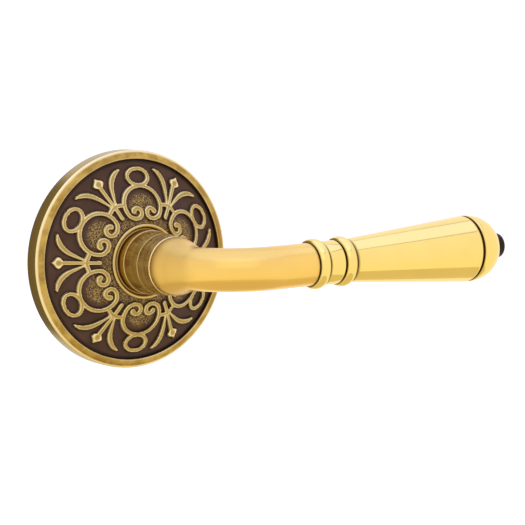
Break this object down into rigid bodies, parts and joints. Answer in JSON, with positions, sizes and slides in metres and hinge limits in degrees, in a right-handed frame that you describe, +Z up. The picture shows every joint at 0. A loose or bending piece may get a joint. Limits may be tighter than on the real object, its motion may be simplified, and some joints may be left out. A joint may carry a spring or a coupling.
{
  "type": "door lever handle",
  "caption": "Straight round door lever with two beads and a flared grip, on a round rose with raised scroll ornament, sprung, with a square spindle and threaded mounting posts.",
  "frame": {"origin": "on the door's face, where the spindle's axis crosses it", "axes": "+X along the lever towards its end, +Y into the door along the spindle, +Z up"},
  "size_m": [0.1383, 0.1141, 0.067],
  "materials": {
    "aged_brass": "aged cast brass, dark brown in the recesses and gold on the raised ornament",
    "satin_brass": "satin brushed brass",
    "polished_brass": "polished brass",
    "dark_brass": "dark patina on brass",
    "zinc_plated_steel": "zinc-plated steel",
    "cast_zinc": "die-cast zinc, as cast",
    "spring_steel": "oil-hardened spring steel",
    "black_screw_steel": "blackened steel",
    "nylon": "moulded natural nylon"
  },
  "bodies": {
    "rose": {"rosette": "aged_brass", "rosette_grub_screw": "black_screw_steel", "mounting_plate": "zinc_plated_steel", "mounting_post_left": "zinc_plated_steel", "mounting_post_right": "zinc_plated_steel", "spring_housing": "cast_zinc", "housing_screw_top": "zinc_plated_steel", "housing_screw_left": "zinc_plated_steel", "housing_screw_right": "zinc_plated_steel", "stop_pin_left": "spring_steel", "stop_pin_right": "spring_steel", "return_spring": "spring_steel", "neck_bush": "nylon"},
    "lever": {"lever_neck": "satin_brass", "lever_arm": "satin_brass", "front_bead": "polished_brass", "waist_band": "polished_brass", "rear_bead": "polished_brass", "grip": "polished_brass", "end_cap": "polished_brass", "end_button": "dark_brass", "tie_rod": "zinc_plated_steel", "spindle": "zinc_plated_steel", "spindle_grub_screw": "black_screw_steel", "drive_cam": "spring_steel", "thrust_washer": "spring_steel", "spring_washer": "spring_steel", "circlip": "spring_steel"}
  },
  "joints": [
    {"name": "lever_turn", "type": "hinge", "parent": "rose", "child": "lever", "pos_m": [0, 0, 0], "axis": [0, 1, 0], "range_deg": [-45, 45], "stiffness_Nm_per_rad": 1.2, "springref_deg": -4.3, "deforming": ["return_spring"]}
  ]
}
